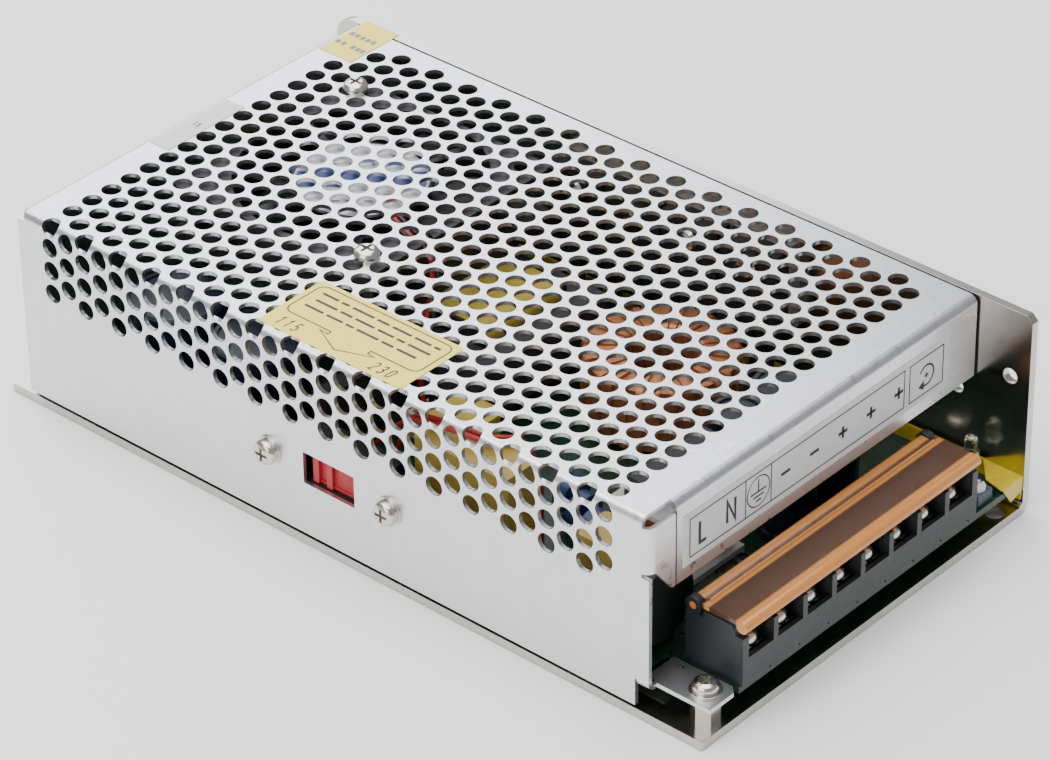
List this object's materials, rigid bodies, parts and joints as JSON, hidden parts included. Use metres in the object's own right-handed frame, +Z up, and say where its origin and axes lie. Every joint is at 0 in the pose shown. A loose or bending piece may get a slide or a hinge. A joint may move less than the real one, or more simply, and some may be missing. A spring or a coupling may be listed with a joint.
{
  "type": "switching power supply",
  "caption": "Metal power supply case with an L-shaped base, perforated cover, screw terminals under a clear flap, a voltage slide switch and a fan under the mesh.",
  "frame": {"origin": "centre of the mounting hole rectangle on the underside of the base, which is the centre of the base outline", "axes": "+X towards the upright base wall, +Y from the terminals to the rear, +Z up through the mesh top"},
  "size_m": [0.1127, 0.2007, 0.0522],
  "materials": {
    "base_metal": "satin sheet",
    "cover_metal": "bright plated sheet",
    "board_green": "solder mask",
    "nickel": "nickel plated",
    "clear_film": "clear film",
    "yellow_film": "yellow film",
    "block_black": "moulded",
    "amber": "clear amber moulding",
    "black_plastic": "moulded",
    "copper": "enamelled wire",
    "label_white": "printed label",
    "wire_red": "insulated wire",
    "wire_black": "insulated wire",
    "ivory": "moulded",
    "slider_red": "moulded",
    "sleeve_dark": "shrink sleeve",
    "ferrite": "sintered",
    "tape_yellow": "tape",
    "core_yellow": "coated powder",
    "bobbin_grey": "moulded",
    "box_yellow": "moulded",
    "disc_blue": "dipped",
    "fuse_glass": "glass tube",
    "disc_green": "dipped",
    "epoxy_black": "moulded",
    "pad_grey": "silicone",
    "spreader_metal": "mill finish",
    "resistor_grey": "lacquered",
    "led_clear": "clear resin",
    "trimmer_blue": "moulded",
    "rotor_white": "moulded",
    "label_yellow": "printed label"
  },
  "bodies": {
    "case": {"base_chassis": "base_metal", "cover": "cover_metal", "pcb": "board_green", "pcb_standoffs": "nickel", "pcb_screws": "nickel", "tab_standoff": "nickel", "tab_screw": "nickel", "tab_washer": "nickel", "wall_screws": "nickel", "floor_insulator": "clear_film", "wall_insulator": "yellow_film", "terminal_block": "block_black", "terminal_plates": "nickel", "terminal_clamps": "nickel", "terminal_screws": "nickel", "fan_frame": "black_plastic", "fan_stator": "copper", "fan_label": "label_white", "fan_screws": "nickel", "fan_nuts": "nickel", "fan_lead_red": "wire_red", "fan_lead_black": "wire_black", "fan_connector": "ivory", "selector_housing": "black_plastic", "selector_screws": "nickel", "selector_washers": "nickel", "selector_leads": "wire_red", "bulk_capacitors": "sleeve_dark", "transformer_core": "ferrite", "transformer_bobbin": "black_plastic", "transformer_winding": "tape_yellow", "output_choke_core": "core_yellow", "output_choke_winding": "copper", "line_choke_core": "ferrite", "line_choke_coils": "copper", "line_choke_bobbin": "bobbin_grey", "x_capacitors": "box_yellow", "y_capacitors": "disc_blue", "fuse": "fuse_glass", "thermistor": "disc_green", "bridge_rectifier": "epoxy_black", "output_capacitors": "sleeve_dark", "power_devices": "epoxy_black", "insulating_pads": "pad_grey", "heat_spreader": "spreader_metal", "device_screws": "nickel", "spreader_screws": "nickel", "control_ic": "epoxy_black", "driver_transformer": "tape_yellow", "load_resistors": "resistor_grey", "indicator_led": "led_clear", "trimmer_body": "trimmer_blue", "terminal_label": "label_white", "voltage_sticker": "label_yellow", "seal_sticker": "label_yellow", "serial_sticker": "label_white"},
    "clear_cover": {"terminal_cover": "amber"},
    "slider": {"selector_slider": "slider_red"},
    "rotor": {"fan_rotor": "black_plastic"},
    "dial": {"trimmer_rotor": "rotor_white"}
  },
  "joints": [
    {"name": "terminal_cover_hinge", "type": "hinge", "parent": "case", "child": "clear_cover", "pos_m": [-0.003, -0.08665, 0.02275], "axis": [-1, 0, 0], "range_deg": [0, 75]},
    {"name": "selector_slide", "type": "slide", "parent": "case", "child": "slider", "axis": [0, 1, 0], "range_m": [0, 0.004]},
    {"name": "fan_spin", "type": "hinge", "parent": "case", "child": "rotor", "pos_m": [0.0056, 0.048, 0.0396], "axis": [0, 0, 1], "continuous": true},
    {"name": "trimmer_turn", "type": "hinge", "parent": "case", "child": "dial", "pos_m": [0.0412, -0.0959, 0.0115], "axis": [0, 0, 1], "range_deg": [-135, 135]}
  ]
}
